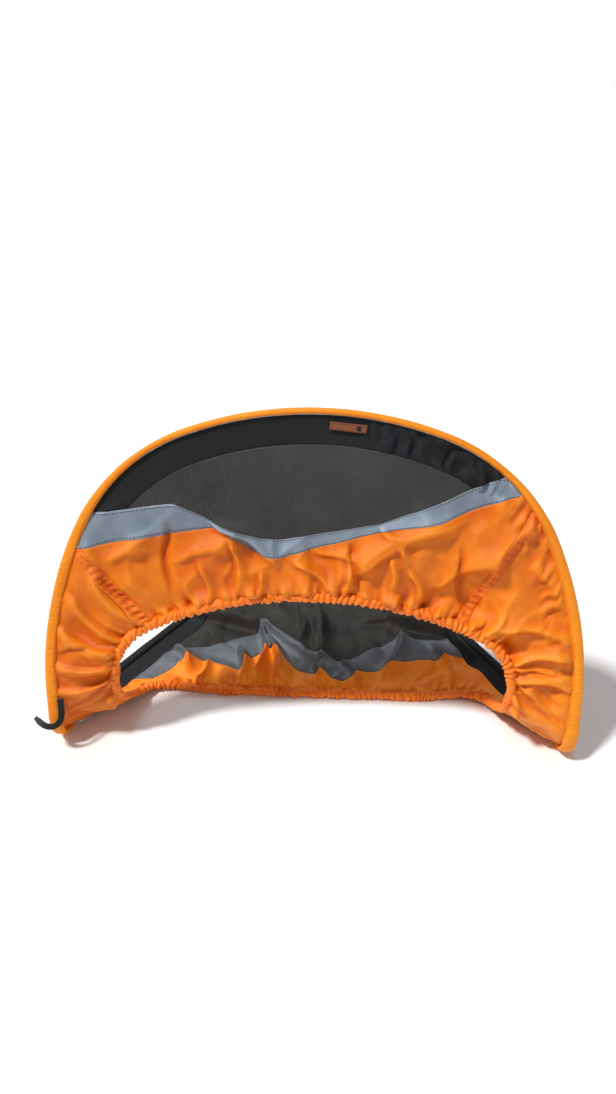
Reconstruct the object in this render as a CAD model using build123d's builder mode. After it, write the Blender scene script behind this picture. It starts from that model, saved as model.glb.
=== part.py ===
from build123d import *
import os
from math import cos, radians, sin, sqrt, tan

os.makedirs("parts", exist_ok=True)

# A pop-up canopy: one closed spring hoop in a fabric sleeve, bent like an open clam.
# The rear half hoop lies on the ground, the front half stands and leans back over it.
# X is across the canopy, +Y is the rear, +Z is up. Millimetres and degrees.

# ---------------------------------------------------------------- driving dimensions
HALF_SPAN = 317.5            # middle of the canopy to the hoop's centre line at a tip
FRONT_LENGTH = 423.5         # fold line to the crown of the front half, in its plane
REAR_LENGTH = 443.0          # fold line to the nose of the rear half, in its plane
FRONT_LEAN = 18.0            # front half's lean back from the vertical
TIP_RADIUS = 32.0            # tight bend of the hoop at each tip

FRONT_STRAIGHT = 80.0        # fold line to the end of the straight above a front tip
FRONT_CROWN_RADIUS = 420.0
FRONT_CROWN_DEG = 20.0       # half angle of the crown arc
FRONT_SHOULDER_DEG = 65.0    # angle from the crown to the end of the shoulder arc
REAR_TIP_RUN = 5.9558        # straight between a tip's bend and the rear half's hip
REAR_HIP_RADIUS = 100.0
REAR_NOSE_RADIUS = 165.0

WIRE_RADIUS = 1.7            # spring steel wire
FERRULE_RADIUS = 2.7
FERRULE_DEG = 10.0           # length of the crimp ferrule, as an angle of the nose arc
SLEEVE_WIDTH = 13.0          # sleeve across, in the plane of the fabric
SLEEVE_THICK = 9.0
SLEEVE_BORE_RADIUS = 3.0
WIRE_FIT = 0.05              # wire to ferrule
SOFT_GAP = 0.3               # between neighbouring soft pieces
FABRIC_THICK = 2.0

HEM_HALF_SPAN = 240.0        # elastic opening: middle to the centre line of a hem end
HEM_RADIUS = 4.4             # gathered casing round the elastic
HEM_BORE_RADIUS = 2.2
ELASTIC_RADIUS = 1.9
HEM_END_RADIUS = 72.0        # bend of the hem where it turns from front to rear
HEM_FRONT_LENGTH = 210.0     # fold line to the top of the opening
HEM_FRONT_RUN = 1.0          # straight between the hem's end bend and its shoulder
HEM_SHOULDER_RADIUS = 73.0
HEM_REAR_LENGTH = 112.0      # fold line to the opening's straight rear edge
HEM_CORNER_RADIUS = 12.0

FACING_WIDTH = 27.0          # black facing strip inside the sleeve
BAND_SIDE = 330.0            # distance from the middle at which band heights are given
FRONT_BAND_LOW = (266.0, 262.0, 372.0)    # lower edge at left side, middle, right side
FRONT_BAND_HIGH = (314.0, 284.0, 400.0)
REAR_BAND_LOW = (136.0, 153.0, 192.0)
REAR_BAND_HIGH = (182.0, 203.0, 240.0)

SEAM_WIDTH = 14.0            # puckered seam strips beside the front skirt
SEAM_FOOT = (206.0, 168.0)   # strip's centre line at the hem and at the sleeve
SEAM_HEAD = (262.0, 268.0)

LABEL_SIZE = (41.0, 9.0, 0.6)
LABEL_OFFSET = 36.5          # label's middle to the right of the crown
LABEL_INSET = 6.0            # sleeve's inner edge to the label's middle

TAB_RADIUS = 4.0             # a webbing tab, 8 mm wide
TAB_ROUTE = (
    (-305.6, -211.5, 74.5),
    (-305.2, -215.2, 65.0),
    (-304.6, -219.3, 55.5),
    (-306.5, -224.6, 47.5),
    (-314.0, -228.8, 43.5),
    (-323.0, -229.2, 44.5),
    (-331.0, -225.5, 47.0),
    (-338.5, -219.5, 49.0),
)
TAB_BEND_SHARE = 0.45        # bend radius as a share of the shorter run

# ---------------------------------------------------------------- derived dimensions
HALF_TURN = radians((90 + FRONT_LEAN) / 2)
TIP_TANGENT = TIP_RADIUS * tan(HALF_TURN)
HEM_TANGENT = HEM_END_RADIUS * tan(HALF_TURN)
REAR_STRAIGHT = TIP_TANGENT + REAR_TIP_RUN    # fold line to the end of that straight
HEM_STRAIGHT = HEM_TANGENT + HEM_FRONT_RUN    # fold line to the hem's shoulder
PLANE_HEIGHT = SLEEVE_THICK / 2
LEAN_SIN = sin(radians(FRONT_LEAN))
LEAN_COS = cos(radians(FRONT_LEAN))
PANEL_INSET = SLEEVE_WIDTH / 2 + SOFT_GAP
FACING_INNER = PANEL_INSET + FACING_WIDTH

# The fold line, where both planes meet, stands so that the origin is the middle of the box.
NEAR_EDGE = TIP_TANGENT - TIP_RADIUS - SLEEVE_THICK / 2
FAR_EDGE = REAR_LENGTH + SLEEVE_WIDTH / 2
FOLD_Y = -(NEAR_EDGE + FAR_EDGE) / 2

FRONT_PLANE = Plane(
    origin=(0, FOLD_Y, PLANE_HEIGHT), x_dir=(1, 0, 0), z_dir=(0, -LEAN_COS, LEAN_SIN)
)
REAR_PLANE = Plane(origin=(0, FOLD_Y, PLANE_HEIGHT), x_dir=(1, 0, 0), z_dir=(0, 0, 1))

FOLD_AXIS_Y = FOLD_Y + TIP_TANGENT - TIP_RADIUS * sin(HALF_TURN)
FOLD_AXIS_Z = PLANE_HEIGHT + TIP_RADIUS * (1 - cos(HALF_TURN))


def front_radii():
    """Shoulder and flank radii that join the crown arc to the straights at the tips."""
    crown = radians(FRONT_CROWN_DEG)
    shoulder = radians(FRONT_SHOULDER_DEG)
    across = HALF_SPAN - FRONT_CROWN_RADIUS * sin(crown)
    along = FRONT_LENGTH - FRONT_STRAIGHT - FRONT_CROWN_RADIUS * (1 - cos(crown))
    a, b = sin(shoulder) - sin(crown), 1 - sin(shoulder)
    c, d = cos(crown) - cos(shoulder), cos(shoulder)
    det = a * d - b * c
    return (across * d - b * along) / det, (a * along - c * across) / det


def rear_nose_angle():
    """Half angle of the nose arc where the straight flank leaves it, in degrees."""
    across = HALF_SPAN - REAR_HIP_RADIUS
    along = REAR_LENGTH - REAR_NOSE_RADIUS - REAR_STRAIGHT
    centres = Vector(across, along)
    lean = Vector(1, 0).get_angle(centres)
    swing = Vector(centres.length, 0).get_angle(
        Vector(REAR_NOSE_RADIUS - REAR_HIP_RADIUS,
               sqrt(centres.length**2 - (REAR_NOSE_RADIUS - REAR_HIP_RADIUS) ** 2))
    )
    return 90 - (swing - lean)


def hem_crown_radius():
    """Crown radius that joins the hem's two shoulders at the opening's full height."""
    reach = HEM_HALF_SPAN - HEM_SHOULDER_RADIUS
    rise = HEM_FRONT_LENGTH - HEM_STRAIGHT
    return (reach**2 + rise**2 - HEM_SHOULDER_RADIUS**2) / (2 * (rise - HEM_SHOULDER_RADIUS))


FRONT_SHOULDER_RADIUS, FRONT_FLANK_RADIUS = front_radii()
REAR_NOSE_DEG = rear_nose_angle()
HEM_CROWN_RADIUS = hem_crown_radius()


# ---------------------------------------------------------------- curves
def front_hoop(inset=0.0):
    """The front half hoop from the right tip to the left tip, drawn `inset` inside it."""
    foot = TIP_TANGENT + SOFT_GAP
    right = Line((HALF_SPAN - inset, foot), (HALF_SPAN - inset, FRONT_STRAIGHT))
    flank_turn = 90 - FRONT_SHOULDER_DEG
    shoulder_turn = FRONT_SHOULDER_DEG - FRONT_CROWN_DEG
    turns = (
        (FRONT_FLANK_RADIUS, flank_turn),
        (FRONT_SHOULDER_RADIUS, shoulder_turn),
        (FRONT_CROWN_RADIUS, 2 * FRONT_CROWN_DEG),
        (FRONT_SHOULDER_RADIUS, shoulder_turn),
        (FRONT_FLANK_RADIUS, flank_turn),
    )
    last = right
    for radius, turn in turns:
        last = JernArc(last @ 1, last % 1, radius - inset, turn)
    Line(last @ 1, (-HALF_SPAN + inset, foot))


def rear_hoop(inset=0.0):
    """The rear half hoop from the right tip to the left tip, drawn `inset` inside it."""
    foot = TIP_TANGENT
    nose = radians(REAR_NOSE_DEG)
    hip_turn = 90 - REAR_NOSE_DEG
    hip_radius = REAR_HIP_RADIUS - inset
    hip_end = (HALF_SPAN - REAR_HIP_RADIUS + hip_radius * sin(nose),
               REAR_STRAIGHT + hip_radius * cos(nose))
    nose_radius = REAR_NOSE_RADIUS - inset
    nose_foot = (nose_radius * sin(nose),
                 REAR_LENGTH - REAR_NOSE_RADIUS + nose_radius * cos(nose))
    right = Line((HALF_SPAN - inset, foot), (HALF_SPAN - inset, REAR_STRAIGHT))
    hip = JernArc(right @ 1, right % 1, hip_radius, hip_turn)
    flank = Line(hip @ 1, nose_foot)
    arc = JernArc(flank @ 1, flank % 1, nose_radius, 2 * REAR_NOSE_DEG)
    left_flank = Line(arc @ 1, (-hip_end[0], hip_end[1]))
    left = JernArc(left_flank @ 1, left_flank % 1, hip_radius, hip_turn)
    Line(left @ 1, (-HALF_SPAN + inset, foot))


def front_hem(outset=0.0, foot=HEM_TANGENT + SOFT_GAP):
    """The upper half of the opening, right to left, drawn `outset` outside the hem's line."""
    side = HEM_HALF_SPAN + outset
    reach = HEM_HALF_SPAN - HEM_SHOULDER_RADIUS
    rise = HEM_CROWN_RADIUS - HEM_FRONT_LENGTH + HEM_STRAIGHT
    crown_turn = Vector(0, 1).get_angle(Vector(reach, rise))
    right = Line((side, foot), (side, HEM_STRAIGHT))
    shoulder = JernArc(right @ 1, right % 1, HEM_SHOULDER_RADIUS + outset, 90 - crown_turn)
    crown = JernArc(shoulder @ 1, shoulder % 1, HEM_CROWN_RADIUS + outset, 2 * crown_turn)
    left = JernArc(crown @ 1, crown % 1, HEM_SHOULDER_RADIUS + outset, 90 - crown_turn)
    Line(left @ 1, (-side, foot))


def rear_hem(outset=0.0, foot=HEM_TANGENT):
    """The lower half of the opening, right to left, drawn `outset` outside the hem's line."""
    side = HEM_HALF_SPAN + outset
    corner = HEM_CORNER_RADIUS + outset
    right = Line((side, foot), (side, HEM_REAR_LENGTH - HEM_CORNER_RADIUS))
    turn = JernArc(right @ 1, right % 1, corner, 90)
    back = Line(turn @ 1, (HEM_CORNER_RADIUS - HEM_HALF_SPAN, HEM_REAR_LENGTH + outset))
    left = JernArc(back @ 1, back % 1, corner, 90)
    Line(left @ 1, (-side, foot))


# ---------------------------------------------------------------- flat regions
FAR = 2 * (HALF_SPAN + REAR_LENGTH)     # beyond every panel


def under(heights, mode=Mode.INTERSECT):
    """Everything on the fold's side of an arc through three heights."""
    left, middle, right = heights
    with BuildLine() as outline:
        arc = ThreePointArc((-BAND_SIDE, left), (0, middle), (BAND_SIDE, right))
        Polyline(arc @ 1, (FAR, right), (FAR, -FAR), (-FAR, -FAR), (-FAR, left), arc @ 0)
    make_face(outline.edges(), mode=mode)


def inside_front(inset, mode=Mode.ADD):
    foot = TIP_TANGENT + SOFT_GAP
    with BuildLine() as outline:
        front_hoop(inset)
        Line((-HALF_SPAN + inset, foot), (HALF_SPAN - inset, foot))
    make_face(outline.edges(), mode=mode)


def inside_rear(inset, mode=Mode.ADD):
    with BuildLine() as outline:
        rear_hoop(inset)
        Line((-HALF_SPAN + inset, TIP_TANGENT), (HALF_SPAN - inset, TIP_TANGENT))
    make_face(outline.edges(), mode=mode)


def cut_opening(hem):
    """Take the opening, as far as the outside of the hem, from a panel."""
    outset = HEM_RADIUS + SOFT_GAP
    side = HEM_HALF_SPAN + outset
    with BuildLine() as outline:
        hem(outset, 0.0)
        Line((-side, 0), (side, 0))
    make_face(outline.edges(), mode=Mode.SUBTRACT)


def cut_corners():
    """Take the corners that the curved tip gussets fill from a panel."""
    inner = HEM_HALF_SPAN + HEM_RADIUS + SOFT_GAP
    outer = HALF_SPAN - PANEL_INSET
    for side in (-1, 1):
        with BuildLine() as outline:
            Polyline((side * inner, 0), (side * inner, HEM_TANGENT + SOFT_GAP),
                     (side * outer, TIP_TANGENT + SOFT_GAP), (side * FAR, TIP_TANGENT),
                     (side * FAR, 0), (side * inner, 0))
        make_face(outline.edges(), mode=Mode.SUBTRACT)


def seam_edges(offset):
    """A right-hand seam strip's edge, `offset` outboard of its centre line, run long."""
    foot, head = Vector(*SEAM_FOOT), Vector(*SEAM_HEAD)
    along = (head - foot).normalized()
    across = Vector(along.Y, -along.X) * offset
    reach = along * (head - foot).length
    return foot - reach + across, head + reach + across


def between_seams(offset, mode):
    """The fabric between the two seam strips, out to `offset` from their centre lines."""
    low, high = seam_edges(offset)
    with BuildLine() as outline:
        Polyline((low.X, low.Y), (high.X, high.Y), (-high.X, high.Y), (-low.X, low.Y),
                 (low.X, low.Y))
    make_face(outline.edges(), mode=mode)


def one_side(side, mode=Mode.INTERSECT):
    with Locations((side * FAR / 2, 0)):
        Rectangle(FAR, 2 * FAR, mode=mode)


def write(piece, name):
    piece.part.label = name
    export_step(piece.part, f"parts/{name}.step")


# ---------------------------------------------------------------- spring hoop
def tube(name, plane, curve, outline):
    """Sweep `outline`, a function that draws a section, along a curve on a plane."""
    with BuildPart() as piece:
        with BuildLine(plane) as drawn:
            curve()
        path = drawn.wire()
        with BuildSketch(Plane(origin=path @ 0, x_dir=(1, 0, 0), z_dir=path % 0)):
            outline()
        sweep(path=path)
    write(piece, name)


def bends(name, half_span, radius, outline, sides=(-1, 1)):
    """Bend `outline` round between the two planes, at the stated sides of the canopy."""
    with BuildPart() as piece:
        tangent = radius * tan(HALF_TURN)
        for side in sides:
            foot = (side * half_span, FOLD_Y + tangent, PLANE_HEIGHT)
            centre = (side * half_span, FOLD_Y + tangent, PLANE_HEIGHT + radius)
            with BuildSketch(Plane(origin=foot, x_dir=(1, 0, 0), z_dir=(0, -1, 0))):
                outline()
            revolve(axis=Axis(centre, (-1, 0, 0)), revolution_arc=90 + FRONT_LEAN)
    write(piece, name)


def wire_section():
    Circle(WIRE_RADIUS)


def sleeve_section():
    SlotOverall(SLEEVE_WIDTH, SLEEVE_THICK)
    Circle(SLEEVE_BORE_RADIUS, mode=Mode.SUBTRACT)


def hem_section():
    Circle(HEM_RADIUS)
    Circle(HEM_BORE_RADIUS, mode=Mode.SUBTRACT)


def elastic_section():
    Circle(ELASTIC_RADIUS)


tube("spring_hoop_front", FRONT_PLANE, front_hoop, wire_section)
tube("spring_hoop_rear", REAR_PLANE, rear_hoop, wire_section)
bends("spring_tips", HALF_SPAN, TIP_RADIUS, wire_section)

with BuildPart() as splice_ferrule:
    with BuildLine(REAR_PLANE) as ferrule_line:
        CenterArc((0, REAR_LENGTH - REAR_NOSE_RADIUS), REAR_NOSE_RADIUS,
                  90 - FERRULE_DEG / 2, FERRULE_DEG)
    ferrule_path = ferrule_line.wire()
    with BuildSketch(Plane(origin=ferrule_path @ 0, z_dir=ferrule_path % 0)):
        Circle(FERRULE_RADIUS)
        Circle(WIRE_RADIUS + WIRE_FIT, mode=Mode.SUBTRACT)
    sweep(path=ferrule_path)
write(splice_ferrule, "splice_ferrule")

# ---------------------------------------------------------------- sleeve and hem
tube("sleeve_front", FRONT_PLANE, front_hoop, sleeve_section)
tube("sleeve_rear", REAR_PLANE, rear_hoop, sleeve_section)
tube("hem_front", FRONT_PLANE, front_hem, hem_section)
tube("hem_rear", REAR_PLANE, rear_hem, hem_section)
tube("elastic_front", FRONT_PLANE, front_hem, elastic_section)
tube("elastic_rear", REAR_PLANE, rear_hem, elastic_section)
bends("elastic_ends", HEM_HALF_SPAN, HEM_END_RADIUS, elastic_section)
for side_name, side in (("left", -1), ("right", 1)):
    bends(f"sleeve_tip_{side_name}", HALF_SPAN, TIP_RADIUS, sleeve_section, (side,))
    bends(f"hem_end_{side_name}", HEM_HALF_SPAN, HEM_END_RADIUS, hem_section, (side,))

# ---------------------------------------------------------------- curved tip gussets
def gusset_band(x, radius):
    """The gusset's section at x: an arc from the rear plane round to the front plane."""
    centre_y = FOLD_Y + radius * tan(HALF_TURN)
    centre_z = PLANE_HEIGHT + radius
    section = Plane(origin=(x, centre_y, centre_z), x_dir=(0, 1, 0), z_dir=(1, 0, 0))
    start = -(90 + FRONT_LEAN) - 90
    with BuildSketch(section) as band:
        with BuildLine():
            outer = CenterArc((0, 0), radius + FABRIC_THICK / 2, start, 90 + FRONT_LEAN)
            inner = CenterArc((0, 0), radius - FABRIC_THICK / 2, start, 90 + FRONT_LEAN)
            Line(outer @ 0, inner @ 0)
            Line(outer @ 1, inner @ 1)
        make_face()
    return band.sketch.faces()[0]


for side_name, side in (("left", -1), ("right", 1)):
    outer_band = gusset_band(side * (HALF_SPAN - PANEL_INSET), TIP_RADIUS)
    inner_band = gusset_band(side * (HEM_HALF_SPAN + HEM_RADIUS + SOFT_GAP), HEM_END_RADIUS)
    with BuildPart() as tip_gusset:
        loft(sections=[outer_band, inner_band], ruled=True)
    write(tip_gusset, f"tip_gusset_{side_name}")

# ---------------------------------------------------------------- front panels
with BuildPart() as mesh_window_front:
    with BuildSketch(FRONT_PLANE):
        inside_front(FACING_INNER + SOFT_GAP)
        under(FRONT_BAND_HIGH, Mode.SUBTRACT)
    extrude(amount=FABRIC_THICK / 2, both=True)
write(mesh_window_front, "mesh_window_front")

with BuildPart() as mesh_facing_front:
    with BuildSketch(FRONT_PLANE):
        inside_front(PANEL_INSET)
        inside_front(FACING_INNER, Mode.SUBTRACT)
        under(FRONT_BAND_HIGH, Mode.SUBTRACT)
    extrude(amount=FABRIC_THICK / 2, both=True)
write(mesh_facing_front, "mesh_facing_front")

with BuildPart() as reflective_band_front:
    with BuildSketch(FRONT_PLANE):
        inside_front(PANEL_INSET)
        under([height - SOFT_GAP for height in FRONT_BAND_HIGH])
        under(FRONT_BAND_LOW, Mode.SUBTRACT)
    extrude(amount=FABRIC_THICK / 2, both=True)
write(reflective_band_front, "reflective_band_front")

SKIRT_TOP = [height - SOFT_GAP for height in FRONT_BAND_LOW]

with BuildPart() as skirt_front:
    with BuildSketch(FRONT_PLANE):
        inside_front(PANEL_INSET)
        under(SKIRT_TOP)
        between_seams(-SEAM_WIDTH / 2 - SOFT_GAP, Mode.INTERSECT)
        cut_opening(front_hem)
    extrude(amount=FABRIC_THICK / 2, both=True)
write(skirt_front, "skirt_front")

for side_name, side in (("left", -1), ("right", 1)):
    with BuildPart() as seam_strip:
        with BuildSketch(FRONT_PLANE):
            inside_front(PANEL_INSET)
            under(SKIRT_TOP)
            between_seams(SEAM_WIDTH / 2, Mode.INTERSECT)
            between_seams(-SEAM_WIDTH / 2, Mode.SUBTRACT)
            cut_opening(front_hem)
            one_side(side)
        extrude(amount=FABRIC_THICK / 2, both=True)
    write(seam_strip, f"seam_strip_{side_name}")

    with BuildPart() as side_gusset:
        with BuildSketch(FRONT_PLANE):
            inside_front(PANEL_INSET)
            under(SKIRT_TOP)
            between_seams(SEAM_WIDTH / 2 + SOFT_GAP, Mode.SUBTRACT)
            cut_opening(front_hem)
            cut_corners()
            one_side(side)
        extrude(amount=FABRIC_THICK / 2, both=True)
    write(side_gusset, f"side_gusset_{side_name}")

LABEL_RADIUS = FRONT_CROWN_RADIUS - PANEL_INSET - LABEL_INSET
LABEL_HEIGHT = sqrt(LABEL_RADIUS**2 - LABEL_OFFSET**2) + FRONT_LENGTH - FRONT_CROWN_RADIUS
with BuildPart() as woven_label:
    with BuildSketch(FRONT_PLANE.offset(FABRIC_THICK / 2)):
        with Locations((LABEL_OFFSET, LABEL_HEIGHT)):
            Rectangle(LABEL_SIZE[0], LABEL_SIZE[1],
                      rotation=-Vector(0, 1).get_angle(Vector(LABEL_OFFSET, LABEL_HEIGHT)))
    extrude(amount=LABEL_SIZE[2])
write(woven_label, "woven_label")

# ---------------------------------------------------------------- rear panels
with BuildPart() as mesh_panel_rear:
    with BuildSketch(REAR_PLANE):
        inside_rear(FACING_INNER + SOFT_GAP)
        under(REAR_BAND_HIGH, Mode.SUBTRACT)
    extrude(amount=FABRIC_THICK / 2, both=True)
write(mesh_panel_rear, "mesh_panel_rear")

with BuildPart() as facing_rear:
    with BuildSketch(REAR_PLANE):
        inside_rear(PANEL_INSET)
        inside_rear(FACING_INNER, Mode.SUBTRACT)
        cut_opening(rear_hem)
        cut_corners()
    extrude(amount=FABRIC_THICK / 2, both=True)
write(facing_rear, "facing_rear")

with BuildPart() as reflective_band_rear:
    with BuildSketch(REAR_PLANE):
        inside_rear(FACING_INNER + SOFT_GAP)
        under([height - SOFT_GAP for height in REAR_BAND_HIGH])
        under(REAR_BAND_LOW, Mode.SUBTRACT)
    extrude(amount=FABRIC_THICK / 2, both=True)
write(reflective_band_rear, "reflective_band_rear")

with BuildPart() as skirt_rear:
    with BuildSketch(REAR_PLANE):
        inside_rear(FACING_INNER + SOFT_GAP)
        under([height - SOFT_GAP for height in REAR_BAND_LOW])
        cut_opening(rear_hem)
        cut_corners()
    extrude(amount=FABRIC_THICK / 2, both=True)
write(skirt_rear, "skirt_rear")

# ---------------------------------------------------------------- webbing tab
def bend_radii(route):
    """Each bend as large as its two runs allow."""
    radii = []
    for before, corner, after in zip(route, route[1:], route[2:]):
        run_in, run_out = Vector(*corner) - Vector(*before), Vector(*after) - Vector(*corner)
        turn = radians(run_in.get_angle(run_out))
        radii.append(TAB_BEND_SHARE * min(run_in.length, run_out.length) / tan(turn / 2))
    return radii


TAB_RADII = bend_radii(TAB_ROUTE)
with BuildPart() as pull_tab:
    with BuildLine() as tab_line:
        FilletPolyline(*TAB_ROUTE, radius=TAB_RADII)
    tab_path = tab_line.wire()
    with BuildSketch(Plane(origin=tab_path @ 0, z_dir=tab_path % 0)):
        Circle(TAB_RADIUS)
    sweep(path=tab_path)
write(pull_tab, "pull_tab")

print("fold axis y, z:", round(FOLD_AXIS_Y, 3), round(FOLD_AXIS_Z, 3))
print("front shoulder, flank radii:", round(FRONT_SHOULDER_RADIUS, 1),
      round(FRONT_FLANK_RADIUS, 1), "rear nose angle:", round(REAR_NOSE_DEG, 1))
print("tab bend radii:", [round(radius, 1) for radius in TAB_RADII],
      "length:", round(tab_path.length, 1))
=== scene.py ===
import math

import bmesh
import bpy
import numpy as np
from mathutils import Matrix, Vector


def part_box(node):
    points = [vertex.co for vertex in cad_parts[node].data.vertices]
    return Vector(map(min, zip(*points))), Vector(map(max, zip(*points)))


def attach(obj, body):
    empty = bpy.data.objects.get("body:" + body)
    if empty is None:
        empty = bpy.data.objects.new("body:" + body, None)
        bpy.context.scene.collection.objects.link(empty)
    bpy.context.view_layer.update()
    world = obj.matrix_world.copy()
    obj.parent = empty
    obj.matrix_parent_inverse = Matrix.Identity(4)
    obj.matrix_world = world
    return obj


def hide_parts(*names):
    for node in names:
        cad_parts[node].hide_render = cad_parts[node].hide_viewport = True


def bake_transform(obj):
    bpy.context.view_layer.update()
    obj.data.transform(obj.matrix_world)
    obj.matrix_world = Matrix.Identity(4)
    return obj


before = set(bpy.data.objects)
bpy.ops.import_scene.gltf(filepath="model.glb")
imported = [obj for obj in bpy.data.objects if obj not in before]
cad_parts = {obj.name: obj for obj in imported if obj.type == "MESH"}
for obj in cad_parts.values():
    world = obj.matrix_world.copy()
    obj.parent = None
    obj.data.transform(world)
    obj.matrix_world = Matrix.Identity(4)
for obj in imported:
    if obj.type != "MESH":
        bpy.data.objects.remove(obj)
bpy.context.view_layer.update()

MM = 0.001

# ---- sizes, in millimetres
LEAN = math.radians(18)
FOLD = math.radians(108)  # turn from the rear plane round to the front plane
WIRE_RADIUS = 1.7
SLEEVE_WIDTH, SLEEVE_THICK = 13.0, 9.0
TIP_RADIUS, HEM_END_RADIUS = 32.0, 72.0
HEM_RADIUS, ELASTIC_RADIUS = 4.4, 1.9
FACING_WIDTH = 34.0  # hoop's centre line to the facing's inner edge
CLOTH = 0.5  # thickness of a single layer of fabric


def box_mm(node):
    low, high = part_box(node)
    return np.array(low) / MM, np.array(high) / MM


TIP_TANGENT = TIP_RADIUS * math.tan(FOLD / 2)
HEM_TANGENT = HEM_END_RADIUS * math.tan(FOLD / 2)
PLANE_Z = SLEEVE_THICK / 2
HALF_SPAN = box_mm("spring_hoop_front")[1][0] - WIRE_RADIUS
FOLD_Y = box_mm("sleeve_tip_left")[0][1] + SLEEVE_THICK / 2 + TIP_RADIUS - TIP_TANGENT
FRONT_LENGTH = (box_mm("spring_hoop_front")[1][2] - PLANE_Z - WIRE_RADIUS) / math.cos(LEAN)
REAR_LENGTH = box_mm("spring_hoop_rear")[1][1] - WIRE_RADIUS - FOLD_Y
HEM_HALF_SPAN = box_mm("elastic_front")[1][0] - ELASTIC_RADIUS
HEM_FRONT_LENGTH = 210.0
HEM_REAR_LENGTH = box_mm("elastic_rear")[1][1] - ELASTIC_RADIUS - FOLD_Y

# ---- camera
camera_data = bpy.data.cameras.new("camera")
camera_data.lens = 27.05
camera_data.sensor_width = 36.0
camera_data.clip_end = 2000.0
camera = bpy.data.objects.new("camera", camera_data)
camera.location = (0.0299, -0.9248, 0.789)
camera.rotation_euler = (math.radians(56.0), 0.0, math.radians(2.635))
bpy.context.scene.collection.objects.link(camera)
bpy.context.scene.camera = camera
bpy.context.scene.view_settings.view_transform = "Standard"
bpy.context.scene.view_settings.look = "Medium High Contrast"


# ---- smooth noise
def lattice(seed):
    return np.random.RandomState(seed).uniform(-1, 1, (64, 64))


LATTICES = [lattice(seed) for seed in range(24)]


def noise(x, y, seed=0):
    """Smooth noise from -1 to 1, one feature a unit."""
    x, y = np.broadcast_arrays(np.asarray(x, float), np.asarray(y, float))
    xi, yi = np.floor(x).astype(int), np.floor(y).astype(int)
    fx, fy = x - xi, y - yi
    fx, fy = fx * fx * fx * (fx * (fx * 6 - 15) + 10), fy * fy * fy * (fy * (fy * 6 - 15) + 10)
    table = LATTICES[seed % len(LATTICES)]
    a, b = table[xi % 64, yi % 64], table[(xi + 1) % 64, yi % 64]
    c, d = table[xi % 64, (yi + 1) % 64], table[(xi + 1) % 64, (yi + 1) % 64]
    return (a + (b - a) * fx) * (1 - fy) + (c + (d - c) * fx) * fy


def crease(x, y, seed=0):
    """Noise whose zero line is a sharp ridge, from 0 to 1."""
    return 1 - np.abs(noise(x, y, seed))


def smooth(low, high, x):
    t = np.clip((np.asarray(x, float) - low) / (high - low), 0, 1)
    return t * t * (3 - 2 * t)


def softened(values, count):
    """Values in a row, each averaged with its neighbours in a window of that count."""
    window = np.hanning(count)
    return np.convolve(np.pad(values, count // 2, mode="edge"), window / window.sum(), mode="valid")


def full_turn(sides):
    return np.linspace(0, 2 * math.pi, sides, endpoint=False)


def unit(vectors):
    return vectors / np.linalg.norm(vectors, axis=-1, keepdims=True)


# ---- curves
def drawn(start, heading, moves, step=1.0):
    """Points along straights, each a length, and left-hand arcs, each a radius and a turn."""
    point, angle = np.array(start, float), math.radians(heading)
    points = [point]
    for move in moves:
        if isinstance(move, tuple):
            radius, turn = move[0], math.radians(move[1])
            centre = point + radius * np.array([-math.sin(angle), math.cos(angle)])
            count = max(2, math.ceil(radius * turn / step))
            for k in range(1, count + 1):
                a = angle + turn * k / count
                points.append(centre + radius * np.array([math.sin(a), -math.cos(a)]))
            angle += turn
        else:
            count = max(1, math.ceil(move / step))
            ahead = np.array([math.cos(angle), math.sin(angle)])
            points += [point + ahead * move * k / count for k in range(1, count + 1)]
        point = points[-1]
    return np.array(points)


def read(at, s, values):
    """Rows of values given at lengths s, read at other lengths."""
    return np.stack([np.interp(at, s, values[:, k]) for k in range(values.shape[1])], -1)


class Curve:
    """A line through points, read by its arc length."""

    def __init__(self, points):
        self.points = points
        self.s = np.concatenate([[0], np.cumsum(np.linalg.norm(np.diff(points, axis=0), axis=1))])
        self.length = self.s[-1]

    def at(self, s):
        return read(s, self.s, self.points)


def front_hoop_line():
    crown, crown_turn, shoulder_turn = 420.0, math.radians(20), math.radians(65)
    straight = 80.0
    across = HALF_SPAN - crown * math.sin(crown_turn)
    along = FRONT_LENGTH - straight - crown * (1 - math.cos(crown_turn))
    a, b = math.sin(shoulder_turn) - math.sin(crown_turn), 1 - math.sin(shoulder_turn)
    c, d = math.cos(crown_turn) - math.cos(shoulder_turn), math.cos(shoulder_turn)
    det = a * d - b * c
    shoulder, flank = (across * d - b * along) / det, (a * along - c * across) / det
    return drawn(
        (HALF_SPAN, TIP_TANGENT), 90,
        [straight - TIP_TANGENT, (flank, 25), (shoulder, 45), (crown, 40), (shoulder, 45),
         (flank, 25), straight - TIP_TANGENT],
    )


def rear_hoop_line():
    hip, nose, straight = 100.0, 165.0, TIP_TANGENT + 5.9558
    across, along = HALF_SPAN - hip, REAR_LENGTH - nose - straight
    reach = math.hypot(across, along)
    flank = math.sqrt(reach**2 - (nose - hip) ** 2)
    nose_half = 90 - math.degrees(math.atan2(flank, nose - hip) - math.atan2(along, across))
    return drawn(
        (HALF_SPAN, TIP_TANGENT), 90,
        [straight - TIP_TANGENT, (hip, 90 - nose_half), flank, (nose, 2 * nose_half), flank,
         (hip, 90 - nose_half), straight - TIP_TANGENT],
    )


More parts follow.
